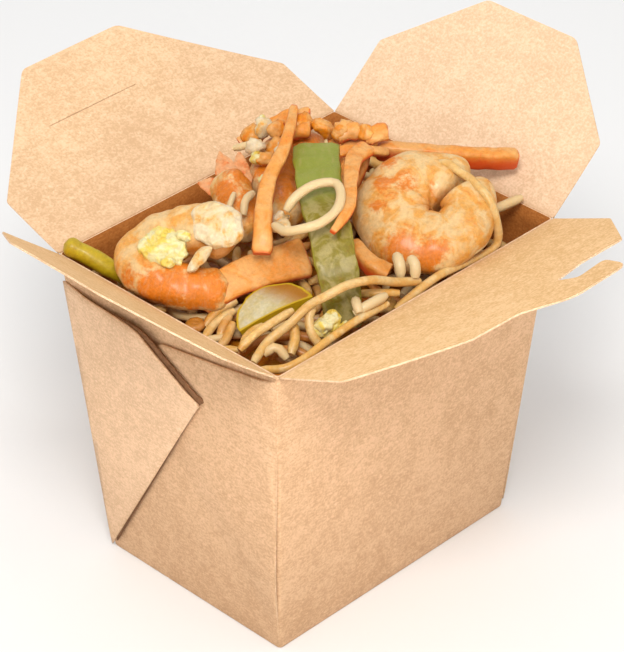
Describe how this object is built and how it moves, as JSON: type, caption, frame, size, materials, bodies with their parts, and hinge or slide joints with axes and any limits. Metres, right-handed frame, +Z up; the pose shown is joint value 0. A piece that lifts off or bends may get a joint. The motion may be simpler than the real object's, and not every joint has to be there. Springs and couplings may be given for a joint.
{
  "type": "noodle takeaway box",
  "caption": "Open folded paperboard takeaway box with four hinged flaps, heaped with fried noodles, prawns, egg, carrot, pepper, bean and courgette.",
  "frame": {"origin": "centre of the underside of the box, on the surface it stands on", "axes": "+Z up; -Y faces the wall whose flap carries the hooked locking tab; -X and +X face the end walls with the corner gussets"},
  "size_m": [0.184, 0.1947, 0.1317],
  "materials": {
    "kraft_board": "matte",
    "noodles": "satin",
    "prawn": "glossy",
    "egg": "satin",
    "carrot": "satin",
    "green_pepper": "satin",
    "courgette": "satin",
    "green_bean": "satin"
  },
  "bodies": {
    "root": {"carton": "kraft_board", "noodle_heap": "noodles", "prawn_big": "prawn", "prawn_left": "prawn", "prawn_back": "prawn", "prawn_tail": "prawn", "egg_left": "egg", "egg_middle": "egg", "carrot_upright": "carrot", "carrot_rim": "carrot", "carrot_curl": "carrot", "carrot_wedge": "carrot", "carrot_slice": "carrot", "carrot_slab": "carrot", "carrot_cube_0": "carrot", "carrot_cube_1": "carrot", "carrot_cube_2": "carrot", "pepper_strip": "green_pepper", "courgette_slice": "courgette", "green_bean": "green_bean"},
    "flap_front": {"flap_front": "kraft_board"},
    "flap_back": {"flap_back": "kraft_board"},
    "flap_left": {"flap_left": "kraft_board"},
    "flap_right": {"flap_right": "kraft_board"}
  },
  "joints": [
    {"name": "front_crease", "type": "hinge", "parent": "root", "child": "flap_front", "pos_m": [0, -0.0428, 0.1], "axis": [-1, 0, 0], "range_deg": [-102, 60]},
    {"name": "back_crease", "type": "hinge", "parent": "root", "child": "flap_back", "pos_m": [0, 0.0428, 0.1], "axis": [1, 0, 0], "range_deg": [-98, 68]},
    {"name": "left_crease", "type": "hinge", "parent": "root", "child": "flap_left", "pos_m": [-0.0543, 0, 0.1], "axis": [0, 1, 0], "range_deg": [-112, 44]},
    {"name": "right_crease", "type": "hinge", "parent": "root", "child": "flap_right", "pos_m": [0.0543, 0, 0.1], "axis": [0, -1, 0], "range_deg": [-112, 2]}
  ]
}
